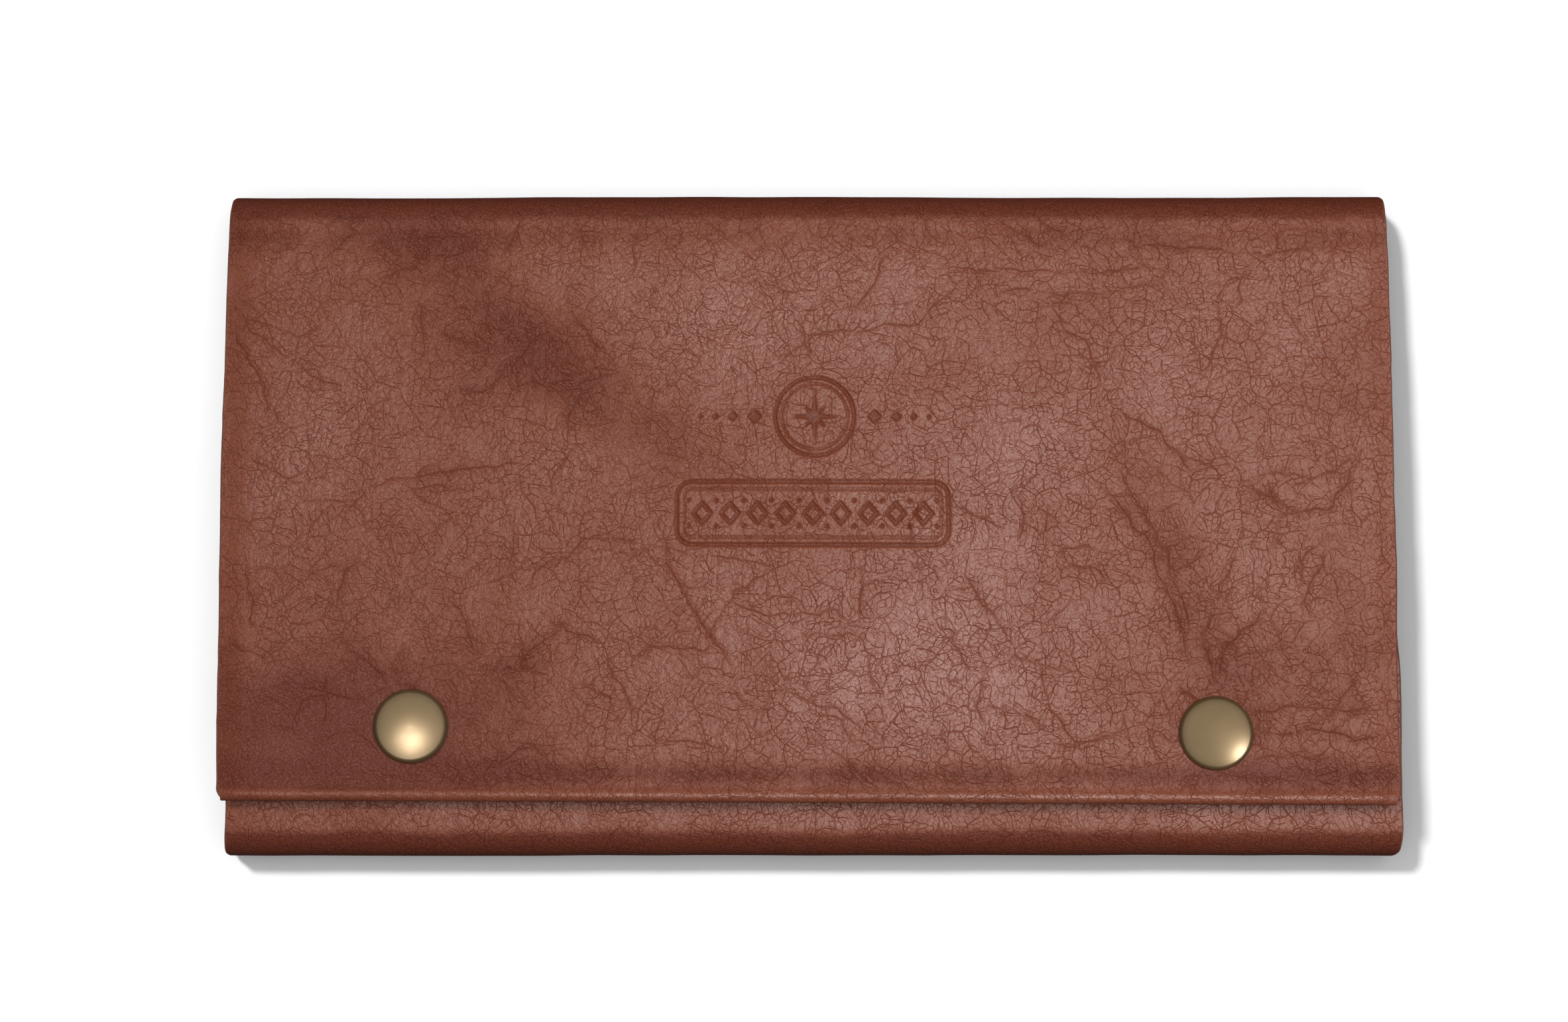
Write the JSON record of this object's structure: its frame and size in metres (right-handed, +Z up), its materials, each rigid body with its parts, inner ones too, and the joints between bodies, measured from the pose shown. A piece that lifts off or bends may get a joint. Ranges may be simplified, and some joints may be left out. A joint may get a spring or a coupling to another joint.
{
  "type": "passport holder",
  "caption": "Wide tri-fold leather passport and travel-document holder whose flap folds over the top and closes with domed snaps on a short front panel.",
  "frame": {"origin": "middle of the face that the closed holder rests on", "axes": "+X along the holder's width, +Y from the bottom fold to the top fold, +Z up through the layers to the flap"},
  "size_m": [0.238, 0.135, 0.0196],
  "materials": {
    "hide": "semi-gloss pebbled red-brown",
    "lining": "matt suede brown",
    "pocket_leather": "satin brown",
    "thread": "waxed thread",
    "snap_brass": "antique satin",
    "snap_steel": "spring wire"
  },
  "bodies": {
    "back": {"back_cover": "hide", "back_lining": "lining", "passport_pocket_panel": "pocket_leather", "pocket_gusset_left": "pocket_leather", "pocket_gusset_right": "pocket_leather", "pocket_gusset_bottom": "pocket_leather", "ticket_pocket_panel": "pocket_leather", "pocket_stitching": "thread"},
    "top_fold": {"top_fold_cover": "hide", "top_fold_lining": "lining"},
    "flap": {"flap_cover": "hide", "flap_lining": "lining", "snap_cap_left": "snap_brass", "snap_post_left": "snap_brass", "snap_socket_left": "snap_brass", "snap_spring_left": "snap_steel", "snap_cap_right": "snap_brass", "snap_post_right": "snap_brass", "snap_socket_right": "snap_brass", "snap_spring_right": "snap_steel"},
    "bottom_fold": {"bottom_fold_cover": "hide", "bottom_fold_lining": "lining"},
    "front": {"front_cover": "hide", "front_lining": "lining", "card_slot_rear": "pocket_leather", "card_slot_middle": "pocket_leather", "card_slot_front": "pocket_leather", "card_stitching": "thread", "snap_stud_left": "snap_brass", "snap_eyelet_left": "snap_brass", "snap_stud_right": "snap_brass", "snap_eyelet_right": "snap_brass"}
  },
  "joints": [
    {"name": "top_fold_unroll", "type": "hinge", "parent": "back", "child": "top_fold", "pos_m": [0, 0.06571, 0.00179], "axis": [-1, 0, 0], "range_deg": [0, 87.5]},
    {"name": "flap_unfold", "type": "hinge", "parent": "top_fold", "child": "flap", "pos_m": [0, 0.06571, 0.01041], "axis": [-1, 0, 0], "range_deg": [0, 87.5]},
    {"name": "bottom_fold_unroll", "type": "hinge", "parent": "back", "child": "bottom_fold", "pos_m": [0, -0.06571, 0.00179], "axis": [1, 0, 0], "range_deg": [0, 87]},
    {"name": "front_unfold", "type": "hinge", "parent": "bottom_fold", "child": "front", "pos_m": [0, -0.06571, 0.01041], "axis": [1, 0, 0], "range_deg": [0, 87]}
  ],
  "couplings": [
    {"joint": "top_fold_unroll", "follows": "flap_unfold", "ratio": 1},
    {"joint": "bottom_fold_unroll", "follows": "flap_unfold", "ratio": 0.994},
    {"joint": "front_unfold", "follows": "flap_unfold", "ratio": 0.994}
  ]
}
